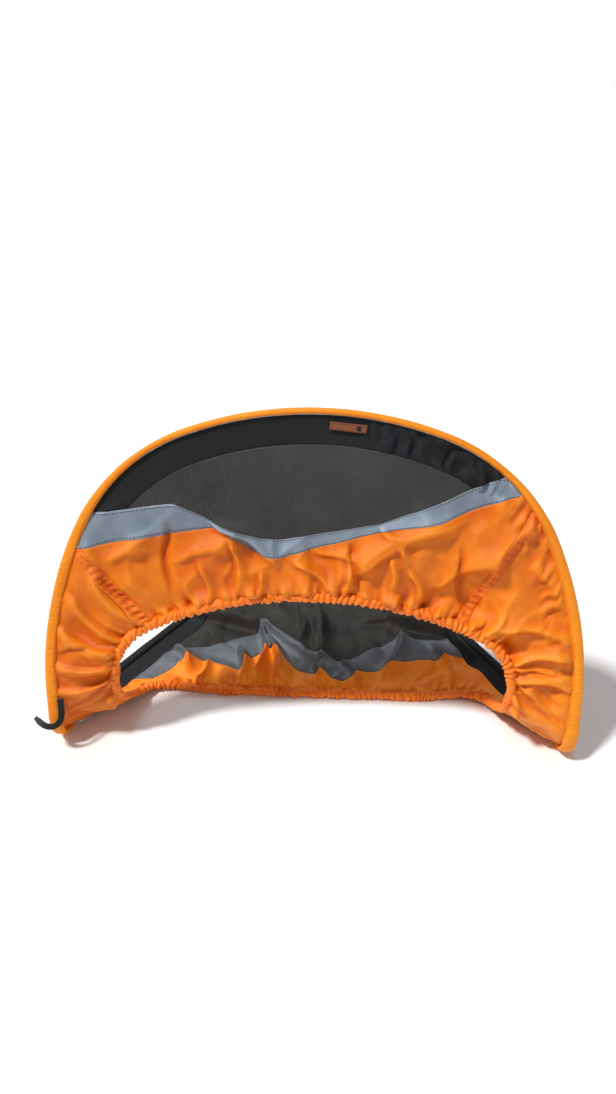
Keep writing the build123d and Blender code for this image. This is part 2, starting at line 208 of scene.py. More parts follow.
def front_hem_line():
    shoulder, run = 73.0, 1.0
    reach, rise = HEM_HALF_SPAN - shoulder, HEM_FRONT_LENGTH - HEM_TANGENT - run
    crown = (reach**2 + rise**2 - shoulder**2) / (2 * (rise - shoulder))
    turn = math.degrees(math.atan2(reach, crown - HEM_FRONT_LENGTH + HEM_TANGENT + run))
    return drawn(
        (HEM_HALF_SPAN, HEM_TANGENT), 90,
        [run, (shoulder, 90 - turn), (crown, 2 * turn), (shoulder, 90 - turn), run],
    )


def rear_hem_line():
    corner = 12.0
    side = HEM_REAR_LENGTH - corner - HEM_TANGENT
    return drawn(
        (HEM_HALF_SPAN, HEM_TANGENT), 90,
        [side, (corner, 90), 2 * (HEM_HALF_SPAN - corner), (corner, 90), side],
    )


FRONT_NORMAL = np.array([0.0, -math.cos(LEAN), math.sin(LEAN)])
REAR_NORMAL = np.array([0.0, 0.0, -1.0])


def on_front(uv):
    u, v = uv[..., 0], uv[..., 1]
    return np.stack([u, FOLD_Y + v * math.sin(LEAN), PLANE_Z + v * math.cos(LEAN)], -1)


def on_rear(uv):
    u, v = uv[..., 0], uv[..., 1]
    return np.stack([u, FOLD_Y + v, np.full_like(u, PLANE_Z)], -1)


def on_bend(x, radius, angle):
    """Points of the bend at the tips: angle 0 on the rear plane, FOLD on the front plane."""
    tangent = radius * math.tan(FOLD / 2)
    return np.stack([
        np.broadcast_to(x, angle.shape),
        FOLD_Y + tangent - radius * np.sin(angle),
        PLANE_Z + radius * (1 - np.cos(angle)),
    ], -1)


def bend_normal(angle):
    return np.stack([np.zeros_like(angle), -np.sin(angle), -np.cos(angle)], -1)


# ---- columns round the canopy
# A column runs from the elastic rim out to the hoop. Keys pair a length along the rim with a
# length along the hoop, both from a tip, so that columns follow the pleats and seam strips.
rim_front, hoop_front = Curve(front_hem_line()), Curve(front_hoop_line())
rim_rear, hoop_rear = Curve(rear_hem_line()), Curve(rear_hoop_line())
STRIP_HALF = 7.0  # half the width of a seam strip
RIGHT_STRIP, LEFT_STRIP = (112.0, 285.0), (90.0, 226.0)
REAR_KEYS = ((30.0, 130.0), (110.0, 330.0))
PITCH = 1.6  # from one column to the next
TIP_COUNT = 36  # columns round each tip


def columns(rim, hoop, keys_right, keys_left):
    """Lengths along the rim and the hoop, from the right tip round to the left tip."""
    pairs = [(0.0, 0.0)] + list(keys_right)
    pairs += [(rim.length - r, hoop.length - h) for r, h in reversed(keys_left)]
    pairs += [(rim.length, hoop.length)]
    pairs = np.array(pairs)
    measure = pairs.mean(1)
    m = np.linspace(0, measure[-1], math.ceil(measure[-1] / PITCH) + 1)
    return np.interp(m, measure, pairs[:, 0]), np.interp(m, measure, pairs[:, 1])


def strip_keys(strip):
    return [(strip[0] + edge, strip[1] + edge) for edge in (-STRIP_HALF, STRIP_HALF)]


front_rim_s, front_hoop_s = columns(rim_front, hoop_front, strip_keys(RIGHT_STRIP), strip_keys(LEFT_STRIP))
rear_rim_s, rear_hoop_s = columns(rim_rear, hoop_rear, REAR_KEYS, REAR_KEYS)
tip_turn = np.linspace(FOLD, 0, TIP_COUNT + 1)[1:-1]

FRONT, REAR = 0, 2  # two of the four column sets, which go front, tip, rear, tip
column_sets = []


def add_columns(a, b, normals, uva, uvb):
    """Columns from rim points a to hoop points b; uva and uvb are their places on a half's plane."""
    part = np.full(len(a), len(column_sets))
    column_sets.append((a, b, np.broadcast_to(normals, a.shape), uva, uvb, part))


def add_tip(side, turn):
    none = np.zeros((len(turn), 2))
    rim = on_bend(side * HEM_HALF_SPAN, HEM_END_RADIUS, turn)
    add_columns(rim, on_bend(side * HALF_SPAN, TIP_RADIUS, turn), bend_normal(turn), none, none)


uva, uvb = rim_front.at(front_rim_s), hoop_front.at(front_hoop_s)
add_columns(on_front(uva), on_front(uvb), FRONT_NORMAL, uva, uvb)
add_tip(-1, tip_turn)
uva, uvb = rim_rear.at(rear_rim_s)[::-1], hoop_rear.at(rear_hoop_s)[::-1]
add_columns(on_rear(uva), on_rear(uvb), REAR_NORMAL, uva, uvb)
add_tip(1, tip_turn[::-1])
rim_points, hoop_points, normals, rim_uv, hoop_uv, part_of = (
    np.concatenate(values) for values in zip(*column_sets))
COLUMNS = len(part_of)
in_front, in_rear = part_of == FRONT, part_of == REAR


def around(points):
    """Arc length round a closed ring of points."""
    steps = np.linalg.norm(np.roll(points, -1, 0) - points, axis=1)
    return np.concatenate([[0], np.cumsum(steps)[:-1]]), steps.sum()


rim_s, rim_round = around(rim_points)
hoop_s = around(hoop_points)[0]


def eased(points, reach, step):
    """A ring of evenly spaced points with its corners eased over a reach each way."""
    half = math.ceil(2.5 * reach / step)
    weight = np.exp(-0.5 * (np.arange(-half, half + 1) * step / reach) ** 2)
    weight /= weight.sum()
    longer = np.concatenate([points[-half:], points, points[:half]])
    return np.stack([np.convolve(longer[:, k], weight, mode="valid") for k in range(3)], -1)


def even_ring(points, step):
    """The same closed ring, with points a step apart."""
    s, total = around(points)
    count = math.ceil(total / step)
    return read(np.arange(count) * total / count, np.append(s, total), np.concatenate([points, points[:1]]))


RIM_STEP = 0.8
RIM_EASE = 42.0  # how far each way the rim's lower corners are rounded off
CORNER_WIDE, CORNER_TALL = 62, 75  # how far from its two lower corners the rim is pulled
CORNER_PULL = np.array([0.0, 13.0, 3.0])
even = even_ring(rim_points, RIM_STEP)
# The rim's two lower corners are cut across: the gussets pull them back and up.
pulled = np.exp(-((np.abs(even[:, 0]) - HEM_HALF_SPAN) / CORNER_WIDE) ** 2)
pulled = (pulled * np.exp(-(even[:, 2] / CORNER_TALL) ** 2))[:, None]
rim_ring = eased(even, 9.0, RIM_STEP) * (1 - pulled) + eased(even, RIM_EASE, RIM_STEP) * pulled
rim_ring = eased(rim_ring + pulled * CORNER_PULL, 10.0, RIM_STEP)
ring_s = np.linspace(0, rim_round, len(rim_ring) + 1)
rim_points = read(rim_s, ring_s, np.concatenate([rim_ring, rim_ring[:1]]))

# ---- band edges
# Heights above the fold line at distances from the middle, as the loose bands lie.
FRONT_LOW = (
    (-330, 258), (-265, 263), (-213, 274), (-171, 280), (-110, 292), (-67, 262), (-40, 257), (-13, 264),
    (30, 277), (80, 293), (143, 303), (180, 318), (228, 336), (330, 372),
)
FRONT_HIGH = (
    (-330, 300), (-238, 307), (-159, 319), (-108, 294), (-60, 280), (-36, 278), (17, 288), (74, 300),
    (135, 323), (208, 356), (330, 400),
)
REAR_LOW = (
    (-330, 120), (-225, 127), (-183, 162), (-150, 164), (-104, 151), (-77, 194), (-50, 178), (-20, 153),
    (36, 133), (90, 160), (148, 177), (233, 190), (330, 192),
)
REAR_HIGH = (
    (-330, 140), (-236, 147), (-208, 181), (-150, 204), (-112, 219), (-77, 240), (-23, 201), (10, 184),
    (35, 172), (75, 200), (122, 230), (236, 214), (330, 214),
)


def height_line(keys):
    xs, ys = np.array(keys, float).T
    fine = np.arange(xs[0], xs[-1] + 1, 2.0)
    level = softened(np.interp(fine, xs, ys), 11)
    return lambda u: np.interp(u, fine, level)


def crossing(line, part):
    """Where each column crosses a band edge: 0 at the rim, 1 at the hoop."""
    t = np.linspace(0, 1, 401)
    where = part_of == part
    out = np.ones(COLUMNS)
    uv = rim_uv[where][:, None, :] + t[None, :, None] * (hoop_uv - rim_uv)[where][:, None, :]
    over = uv[..., 1] >= line(uv[..., 0])
    out[where] = softened(np.where(over.any(1), t[over.argmax(1)], 1.0), 7)
    return out


span = np.linalg.norm(hoop_points - rim_points, axis=1)
hoop_tangent = unit(np.roll(hoop_points, -1, 0) - np.roll(hoop_points, 1, 0))
ray = (hoop_points - rim_points) / span[:, None]
slant = np.sqrt(np.clip(1 - (ray * hoop_tangent).sum(1) ** 2, 0.05, 1))
face_t = 1 - FACING_WIDTH / (span * slant)

low_t = np.ones(COLUMNS)
high_t = np.ones(COLUMNS)
for part, low_keys, high_keys in ((FRONT, FRONT_LOW, FRONT_HIGH), (REAR, REAR_LOW, REAR_HIGH)):
    low_t = np.where(part_of == part, crossing(height_line(low_keys), part), low_t)
    high_t = np.where(part_of == part, crossing(height_line(high_keys), part), high_t)
high_t = np.maximum(high_t, low_t)
# The front facing lies only round the mesh; the rear facing runs all round inside the hoop.
front_face = np.maximum(face_t, high_t)
rear_face = np.clip(face_t, 0.05, 1)
facing_t = np.where(in_front, front_face, np.where(in_rear, rear_face, 1.0))
low_t = np.where(in_rear, np.minimum(low_t, facing_t), low_t)
high_t = np.where(in_rear, np.minimum(high_t, facing_t), high_t)

# ---- folds and gathers
stations = np.stack([np.zeros(COLUMNS), low_t, high_t, facing_t, np.ones(COLUMNS)], 1)
ROWS = (62, 12, 44, 14)  # rows of cloth in the skirt, the band, the net and the facing


def zone_steps(k, rows):
    """Row places in a zone from 0 to 1, closer together near the rim."""
    steps = np.linspace(0, 1, rows + 1) ** (1.45 if k == 0 else 1.0)
    return steps[:-1] if k < len(ROWS) - 1 else steps


row_t = np.concatenate(
    [stations[:, k, None] + (stations[:, k + 1] - stations[:, k])[:, None] * zone_steps(k, rows)[None, :]
     for k, rows in enumerate(ROWS)], 1)
base = rim_points[:, None, :] + row_t[..., None] * (hoop_points - rim_points)[:, None, :]
normal = np.broadcast_to(unit(normals)[:, None, :], base.shape)
inner = row_t * span[:, None]  # distance from the rim
outer = (1 - row_t) * span[:, None]  # distance from the hoop


def ring_noise(s, length, wave, y, seed):
    """Noise round a closed ring of that length, the same at both ends."""
    turns = max(1, round(length / wave))
    phase = s / length * turns
    fade = smooth(0.96, 1.0, s / length)
    return noise(phase, y, seed) * (1 - fade) + noise(phase - turns, y, seed) * fade


# Folds, listed one by one, each from one place to another on its half, with a width and a height.
# A fold stands LAID_RISE times its height.
LAID_RISE = 1.75
FRONT_FOLDS = (
    (-108, 290, -52, 258, 9, 7.0), (-169, 284, -167, 222, 7, -4.0), (-154, 250, -92, 268, 12, 4.0),
    (-93, 270, -88, 218, 7, 5.0), (-18, 250, 20, 222, 10, 5.5), (42, 257, 38, 220, 8, 5.0),
    (81, 290, 104, 264, 5, 5.0), (44, 270, 52, 234, 9, -4.0), (89, 257, 92, 228, 6, 5.0),
    (112, 242, 125, 214, 6, 4.5), (54, 243, 155, 297, 12, 6.5), (149, 230, 205, 256, 11, 5.5),
    (225, 176, 296, 165, 10, 6.0), (238, 131, 304, 143, 9, 6.5), (238, 107, 304, 104, 8, 5.0),
    (-236, 134, -299, 160, 9, 6.0), (-240, 116, -304, 114, 8, 6.0), (-238, 98, -304, 80, 8, 5.0),
    (-230, 149, -281, 198, 10, 5.5), (-204, 176, -255, 228, 9, 5.0), (-249, 237, -218, 200, 8, -3.5),
    (-130, 240, -120, 205, 6, 4.0), (-60, 235, -64, 208, 6, 4.5), (170, 262, 178, 200, 9, -4.5),
    (10, 262, 60, 250, 9, 3.5), (-235, 250, -190, 262, 12, 3.0), (205, 240, 240, 300, 13, 4.0),
    (255, 250, 285, 205, 14, 4.5), (-262, 140, -300, 130, 6, -3.0), (262, 122, 300, 124, 6, -3.5),
)
REAR_FOLDS = (
    (-108, 186, -98, 118, 9, 15.0), (-66, 200, -52, 128, 9, 17.0), (-84, 240, -78, 150, 7, 12.0),
    (0, 160, 7, 122, 7, 8.0), (-176, 264, -14, 188, 10, 10.0), (-135, 262, -69, 236, 9, 8.0),
    (-11, 305, -2, 215, 8, 11.0), (-27, 298, 8, 166, 10, 8.0), (64, 262, 190, 233, 9, 9.0),
    (123, 258, 207, 209, 9, 8.0), (-28, 286, -24, 220, 9, 6.0), (-199, 184, -174, 150, 8, 10.0),
    (122, 232, 100, 160, 14, 11.0), (40, 172, 60, 130, 9, 6.0), (170, 200, 190, 140, 12, 7.0),
    (-150, 160, -160, 120, 8, 7.0), (60, 330, 110, 270, 12, 8.0), (-120, 340, -60, 290, 12, 7.0),
    (-40, 400, 30, 330, 14, 6.0),
)


def laid(folds_list, u, v):
    """Height of the listed folds, each a soft ridge that fades at its ends."""
    total = np.zeros_like(u)
    for u0, v0, u1, v1, width, rise in folds_list:
        du, dv = u1 - u0, v1 - v0
        length = math.hypot(du, dv)
        t = ((u - u0) * du + (v - v0) * dv) / length**2
        bow = 0.10 * length * np.sin(np.clip(t, 0, 1) * math.pi) * (1 if rise > 0 else -1)
        side = ((v - v0) * du - (u - u0) * dv) / length - bow
        fade = smooth(-0.35, 0.2, t) * smooth(1.35, 0.8, t)
        w = width * (0.75 + 0.5 * np.clip(t, 0, 1))
        sharp = np.where(side > 0, side / (w * 1.15), side / (w * 0.42))
        total += LAID_RISE * rise * fade * np.exp(-np.abs(sharp) ** 1.5)
    return total


front_rows, rear_rows = in_front[:, None], in_rear[:, None]
plan_u = base[..., 0]
plan_v = np.where(rear_rows, base[..., 1] - FOLD_Y, (base[..., 2] - PLANE_Z) / math.cos(LEAN))
rim_s_front = np.full(COLUMNS, -1000.0)  # nowhere near a strip, off the front half
rim_s_front[in_front] = front_rim_s


along = rim_s[:, None] + row_t * 0.0  # length along the rim
edge = smooth(0, 24, outer)  # folds die out near the sleeve
wobble = 5 * noise(inner / 26.0, along / 50.0, 7)


def rim_wave(shift, wave, y, seed):
    return ring_noise(along + shift, rim_round, wave, y, seed)


medium = rim_wave(wobble, 11.0, inner / 60.0, 2)


def ruffle():
    """Close gathers that stand up beside the rim, unevenly."""
    small = rim_wave(0.4 * wobble, 5.6, inner / 30.0, 1)
    uneven = 0.65 + 0.75 * smooth(-0.5, 0.6, rim_wave(0, 31.0, 0.5, 20))
    tall = 9 + 4 * rim_wave(0, 23.0, 4.5, 21)
    return np.exp(-((inner - 8) / tall) ** 2) * uneven * (3.6 * small + 3.6 * medium + 1.6)


def fan():
    """Folds that fan out from the rim and die away."""
    large = rim_wave(2 * wobble, 27.0, inner / 120.0, 3)
    return np.exp(-inner / 36.0) * smooth(0, 10, inner) * edge * (5.6 * medium + 7.0 * large)


PLEATS_FROM = 185  # distance from the middle to the side pleats


def side_pleats():
    """Long ridges up the sides of the front half."""
    side = np.abs(plan_u)
    reach = np.exp(-inner / 85.0) * smooth(2, 14, inner) * edge * smooth(PLEATS_FROM, 215, side)
    ridged = 1 - 2 * np.abs(rim_wave(wobble, 19.0, inner / 170.0, 19))
    return np.where((side > PLEATS_FROM) & ~rear_rows, reach * 5.2 * ridged, 0)


NET_CALM_FRONT, NET_CALM_REAR = 0.8, 0.35  # how much smoother the nets are than the skirts


def crumple():
    """Long pulls that run out from the rim, and broad facets with sharp ridges between them."""
    warp = 20 * noise(plan_u / 70.0, plan_v / 70.0, 9)
    tilt_u, tilt_v = plan_u * 0.8 + plan_v * 0.6, plan_v * 0.8 - plan_u * 0.6
    pulls = 1 - 2 * np.abs(rim_wave(3 * wobble + 0.25 * inner, 41.0, inner / 120.0, 22))
    total = 4.6 * pulls * np.exp(-inner / 130.0)
    total += 7.5 * (crease((tilt_u + warp) / 120.0, tilt_v / 52.0, 10) ** 1.5 - 0.58)
    total += 2.6 * (crease((tilt_v - warp) / 95.0, (tilt_u + warp) / 44.0, 11) ** 1.5 - 0.58)
    total += 6.0 * noise(plan_u / 95.0, plan_v / 70.0, 12)
    total += 0.9 * noise(plan_u / 21.0, plan_v / 26.0, 13)
    net_part = smooth(-0.03, 0.12, row_t - high_t[:, None]) * smooth(1.0, 0.9, high_t)[:, None]
    calm = np.where(rear_rows, NET_CALM_REAR, NET_CALM_FRONT)
    return total * edge * smooth(4, 30, inner) * (1 - calm * net_part)


def bunched():
    """The front facing, bunched up at the right of the crown."""
    where = smooth(40, 100, plan_u) * smooth(330, 250, plan_u) * smooth(0, 5, outer) * smooth(46, 28, outer)
    hoop_way = hoop_s[:, None] + 0.0 * row_t
    close = noise(hoop_way / 7.0 + 0.5 * noise(outer / 9.0, hoop_way / 20.0, 23), outer / 22.0, 5)
    wide = noise(hoop_way / 15.0, outer / 16.0, 8)
    return np.where(front_rows, where * (3.4 * close + 2.2 * wide), 0)


def strip_mask(at, strip):
    return np.exp(-((at - strip[0]) / (STRIP_HALF * 0.85)) ** 6)


PUCKER_PITCH = 8.4


def strip_puckers():
    """The seam strips, puckered across by their stitching."""
    left_way = rim_front.length - rim_s_front
    strip = np.maximum(strip_mask(rim_s_front, RIGHT_STRIP), strip_mask(left_way, LEFT_STRIP))
    uneven = 2.6 * noise(inner / 17.0, 0.3 + along / 60.0, 18)
    beat = np.sin(inner / PUCKER_PITCH * 2 * math.pi + uneven)
    return strip[:, None] * smooth(3, 14, inner) * smooth(2, 12, outer) * (1.25 * beat + 0.9)


# Height of the cloth above its plane, outwards.
height = ruffle() + fan() + side_pleats() + crumple() + bunched() + strip_puckers()
ends = smooth(0, 14, outer) * smooth(2, 14, inner)
front_laid = laid(FRONT_FOLDS, plan_u, plan_v) * ends
rear_laid = laid(REAR_FOLDS, plan_u, plan_v) * ends
height = np.where(front_rows, np.clip(height + front_laid, -15, 17), height)
lift = smooth(0, 30, outer) * smooth(0, 12, inner)
rear_height = -(np.abs(height) * 1.1 + rear_laid) + 1.8
height = np.where(rear_rows, np.clip(rear_height, -26, 1.9) * lift, height)
cloth = base + normal * height[..., None]


def blurred(field, columns_each_way, rows_each_way):
    """Each height averaged with those of the cloth round it."""
    total = np.zeros_like(field)
    for k in range(-columns_each_way, columns_each_way + 1):
        total += np.roll(field, k, 0)
    total /= 2 * columns_each_way + 1
    count = 2 * rows_each_way + 1
    padded = np.pad(total, ((0, 0), (rows_each_way, rows_each_way)), mode="edge")
    return sum(padded[:, k:k + field.shape[1]] for k in range(count)) / count


# Painted shade and light: how far the cloth stands out of (above 0) or sinks into (below 0) what lies round
# it, which paints the ridges lighter and the creases darker.
relief_shade = np.clip((height - blurred(height, 4, 2)) / 0.9, -1, 1) * 0.75
relief_shade += np.clip((height - blurred(height, 14, 8)) / 6.0, -1, 1) * 0.25


# ---- meshes
def new_object(name, mesh):
    made = bpy.data.objects.new(name, mesh)
    bpy.context.scene.collection.objects.link(made)
    return made


def mesh_from(name, points, faces, crease_shade=None):
    """A mesh object from points in millimetres, with the painted shade at each: lighter on ridges, darker in
    creases.
    """
    mesh = bpy.data.meshes.new(name)
    points = np.array(points, float)
    points[:, 2] = np.maximum(points[:, 2], 0.1)  # nothing sinks into the floor
    mesh.from_pydata((points * MM).tolist(), [], faces)
    bm = bmesh.new()
    bm.from_mesh(mesh)
    if crease_shade is not None:
        layer = bm.verts.layers.float.new("crease_shade")
        for vert, value in zip(bm.verts, crease_shade):
            vert[layer] = value
    bmesh.ops.remove_doubles(bm, verts=bm.verts, dist=0.00012)
    bmesh.ops.dissolve_degenerate(bm, dist=0.00001, edges=bm.edges)
    loose = [v for v in bm.verts if not v.link_faces]
    bmesh.ops.delete(bm, geom=loose, context="VERTS")
    bmesh.ops.recalc_face_normals(bm, faces=bm.faces)
    bm.to_mesh(mesh)
    bm.free()
    mesh.polygons.foreach_set("use_smooth", [True] * len(mesh.polygons))
    return new_object(name, mesh)


ZONE_STARTS = np.concatenate([[0], np.cumsum(ROWS)])


def zone_object(name, zone, keep):
    """The cloth of one zone of rows, over the columns where keep is true."""
    rows = row_t.shape[1]
    depth = stations[:, zone + 1] - stations[:, zone]
    faces = []
    for i in range(COLUMNS):
        j = (i + 1) % COLUMNS
        if not (keep[i] and keep[j]) or (depth[i] < 1e-4 and depth[j] < 1e-4):
            continue
        for r in range(ZONE_STARTS[zone], ZONE_STARTS[zone + 1]):
            faces.append((i * rows + r, j * rows + r, j * rows + r + 1, i * rows + r + 1))
    used = sorted({k for face in faces for k in face})
    place = {k: n for n, k in enumerate(used)}
    points = cloth.reshape(-1, 3)[used]
    made = mesh_from(name, points, [[place[k] for k in face] for face in faces],
                     crease_shade=relief_shade.reshape(-1)[used])
    thick = made.modifiers.new("thickness", "SOLIDIFY")
    thick.thickness = CLOTH * MM
    thick.offset = 0.0
    return made


def capped_faces(first, rings, sides):
    """Faces of a tube of rings of points, closed at both ends."""
    last = first + (rings - 1) * sides
    faces = [tuple(range(first, first + sides)), tuple(reversed(range(last, last + sides)))]
    for r in range(first, last, sides):
        for k in range(sides):
            m = (k + 1) % sides
            faces.append((r + k, r + m, r + sides + m, r + sides + k))
    return faces


def ring_object(name, points, across, out, section, closed=True):
    """Sweep a section, rows of (across, out) offsets for each ring point, along a ring."""
    count, sides = section.shape[:2]
    skin = points[:, None, :] + across[:, None, :] * section[..., 0:1]
    skin = skin + out[:, None, :] * section[..., 1:2]
    faces = []
    for i in range(count if closed else count - 1):
        j = (i + 1) % count
        for k in range(sides):
            m = (k + 1) % sides
            faces.append((i * sides + k, j * sides + k, j * sides + m, i * sides + m))
    if not closed:
        faces.append(tuple(range(sides)))
        faces.append(tuple(range((count - 1) * sides, count * sides)))
    return mesh_from(name, skin.reshape(-1, 3), faces)


def ring_frame(points, normals):
    """Directions at each point of a closed ring: away from its opening, and out of the cloth."""
    tangent = unit(np.roll(points, -1, 0) - np.roll(points, 1, 0))
    across = unit(np.cross(tangent, normals))
    return across, np.cross(across, tangent)


def dense_ring(front_points, rear_points, radius, x, step):
    """Points of the whole hoop, with the directions across it and out of the canopy."""
    front, rear = Curve(front_points), Curve(rear_points)
    a = on_front(front.at(np.linspace(0, front.length, math.ceil(front.length / step))))
    turn = np.linspace(FOLD, 0, max(8, math.ceil(radius * FOLD / step)) + 1)[1:-1]
    b = on_bend(-x, radius, turn)
    c = on_rear(rear.at(np.linspace(rear.length, 0, math.ceil(rear.length / step))))
    d = on_bend(x, radius, turn[::-1])
    points = np.concatenate([a, b, c, d])
    normals = np.concatenate([
        np.broadcast_to(FRONT_NORMAL, a.shape), bend_normal(turn),
        np.broadcast_to(REAR_NORMAL, c.shape), bend_normal(turn[::-1])])
    return points, *ring_frame(points, normals)


def bending(made):
    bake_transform(made)
    return made


# ---- materials
def srgb(r, g, b):
    def linear(c):
        c /= 255
        return c / 12.92 if c <= 0.04045 else ((c + 0.055) / 1.055) ** 2.4
    return (linear(r), linear(g), linear(b), 1.0)


class Nodes:
    def __init__(self, name):
        self.material = bpy.data.materials.new(name)
        self.material.use_nodes = True
        self.tree = self.material.node_tree
        self.shader = self.tree.nodes["Principled BSDF"]
        self.where = self.add("ShaderNodeTexCoord").outputs["Object"]

    def add(self, kind, **values):
        node = self.tree.nodes.new(kind)
        for key, value in values.items():
            if key in node.inputs:
                node.inputs[key].default_value = value
            else:
                setattr(node, key, value)
        return node

    def link(self, a, b):
        self.tree.links.new(a, b)

    def noise(self, scale, detail=3.0, rough=0.55, stretch=None):
        node = self.add("ShaderNodeTexNoise", Scale=scale, Detail=detail, Roughness=rough)
        self.link(self.mapped(stretch) if stretch else self.where, node.inputs["Vector"])
        return node.outputs["Fac"]

    def mapped(self, stretch, turn=(0, 0, 0)):
        node = self.add("ShaderNodeMapping")
        node.inputs["Scale"].default_value = stretch
        node.inputs["Rotation"].default_value = turn
        self.link(self.where, node.inputs["Vector"])
        return node.outputs["Vector"]

    def wave(self, scale, axis, turn=(0, 0, 0)):
        node = self.add("ShaderNodeTexWave", Scale=scale, Distortion=0.4)
        node.bands_direction = axis
        self.link(self.mapped((1, 1, 1), turn), node.inputs["Vector"])
        return node.outputs["Fac"]

    def math(self, how, a, b):
        node = self.add("ShaderNodeMath", operation=how)
        for k, value in enumerate((a, b)):
            if isinstance(value, (int, float)):
                node.inputs[k].default_value = value
            else:
                self.link(value, node.inputs[k])
        return node.outputs[0]

    def plus(self, a, share, b):
        return self.math("ADD", self.math("MULTIPLY", a, share), b)

    def ramp(self, factor, stops):
        node = self.add("ShaderNodeValToRGB")
        ramp = node.color_ramp
        while len(ramp.elements) < len(stops):
            ramp.elements.new(0.5)
        for element, (position, colour) in zip(ramp.elements, stops):
            element.position, element.color = position, colour
        self.link(factor, node.inputs["Fac"])
        return node.outputs["Color"]

    def bump(self, heights, distance=0.0004, strength=0.5):
        node = self.add("ShaderNodeBump", Distance=distance, Strength=strength)
        self.link(heights, node.inputs["Height"])
        self.link(node.outputs["Normal"], self.shader.inputs["Normal"])

    def set(self, **values):
        for key, value in values.items():
            self.shader.inputs[key.replace("_", " ")].default_value = value


def woven(name, dark, mid, light, rough=(0.5, 0.7), weave=1150.0, sheen=0.25, patch=9.0, fine=60.0):
    """A plain-woven cloth: two thread directions, patchy colour with painted shade in the creases and
    painted light on the ridges, and uneven gloss.
    """
    m = Nodes(name)
    tone_and_crease_shade = m.plus(m.noise(fine, 3.0), 0.35, m.math("MULTIPLY", m.noise(patch, 4.0), 0.65))
    crease_shade = m.add("ShaderNodeAttribute")
    crease_shade.attribute_name = "crease_shade"
    # Painted shade and light: the colour is darkened in the creases and lightened on the ridges.
    tone_and_crease_shade = m.plus(crease_shade.outputs["Fac"], 0.15, tone_and_crease_shade)
    stops = [(0.30, srgb(*dark)), (0.5, srgb(*mid)), (0.70, srgb(*light))]
    m.link(m.ramp(tone_and_crease_shade, stops), m.shader.inputs["Base Color"])
    threads = m.math("MULTIPLY", m.wave(weave, "X"), m.wave(weave, "Z"))
    m.bump(m.plus(m.noise(fine * 5, 2.0), 0.5, threads), 0.0003, 0.35)
    m.link(m.plus(m.noise(fine, 2.0), rough[1] - rough[0], rough[0]), m.shader.inputs["Roughness"])
    m.set(Sheen_Weight=sheen, Sheen_Roughness=0.4)
    return m


NET_WAVE = 215.0


def netting(name, colour, light, alpha_low, alpha_high):
    """An open net: threads in two directions with see-through holes between them."""
    m = Nodes(name)
    stops = [(0.3, srgb(*colour)), (0.75, srgb(*light))]
    m.link(m.ramp(m.noise(14.0, 4.0), stops), m.shader.inputs["Base Color"])
    turn = (0, math.radians(45), 0)
    threads = m.math("MAXIMUM", m.wave(NET_WAVE, "X", turn), m.wave(NET_WAVE, "Z", turn))
    cover = m.plus(m.noise(22.0, 3.0), 0.12, m.plus(threads, alpha_high - alpha_low, alpha_low))
    m.link(m.math("MINIMUM", cover, 1.0), m.shader.inputs["Alpha"])
    m.bump(threads, 0.0004, 0.5)
    m.set(Roughness=0.65, Sheen_Weight=0.06, Sheen_Roughness=0.5)
    return m


shell = woven("shell_nylon", (212, 102, 8), (228, 124, 16), (240, 142, 32),
              (0.34, 0.46), sheen=0.03, patch=4.0)
shell.set(Specular_IOR_Level=0.45)
# Painted light: the rear skirt is the same nylon as the front one, made brighter and yellower to offset the
# shade it lies in.
rear_skirt_painted_light = woven("rear_shell_nylon", (226, 118, 12), (246, 146, 24), (254, 166, 40),
                   (0.4, 0.6), sheen=0.04, patch=4.0)
tape = woven("seam_tape", (212, 92, 10), (234, 118, 20), (246, 140, 38),
             (0.4, 0.6), sheen=0.04, fine=180.0)
binding = woven("sleeve_binding", (232, 134, 6), (240, 146, 12), (248, 160, 24),
                (0.45, 0.6), sheen=0.04, fine=120.0)
hem_cloth = woven("hem_cloth", (232, 112, 14), (244, 128, 24), (252, 146, 38),
                  (0.35, 0.55), sheen=0.05, fine=140.0)
grey = woven("reflective_grey", (126, 137, 150), (139, 150, 163), (151, 162, 174),
             (0.35, 0.5), 1600.0, 0.1, 4.0)
grey.set(Metallic=0.25, Coat_Weight=0.1)
# Painted shade: the rear band is the same grey cloth as the front one, made darker for the shade it lies in.
grey_band_painted_shade = woven("reflective_grey_rear", (88, 94, 100), (104, 110, 116), (120, 126, 132),
                  (0.4, 0.55), 1600.0, 0.05)
grey_band_painted_shade.set(Metallic=0.2)
black_facing = woven("black_facing", (10, 13, 16), (17, 21, 25), (27, 32, 37), (0.6, 0.8), sheen=0.04)
net = netting("black_net", (16, 17, 17), (40, 40, 37), 0.44, 0.96)
# Partly painted shade: the rear net is denser than the front one, so it shows as dark as the shaded ground
# seen through it. Its thread colour is its own.
net_rear = netting("black_net_rear", (22, 22, 20), (58, 56, 50), 0.76, 1.0)
webbing = woven("black_webbing", (18, 16, 15), (30, 27, 26), (52, 50, 46),
                (0.4, 0.6), 900.0, 0.3, fine=200.0)
thread_orange = woven("orange_thread", (200, 84, 18), (220, 104, 30), (236, 126, 48), weave=3000.0)
thread_dark = woven("dark_thread", (14, 15, 17), (22, 24, 27), (34, 38, 42), weave=3000.0)
label_cloth = woven("woven_label", (112, 66, 42), (136, 80, 50), (160, 98, 62), weave=1500.0, fine=260.0)
rubber = woven("elastic_cord", (200, 198, 190), (222, 220, 212), (238, 236, 230), weave=1800.0,
               fine=240.0)

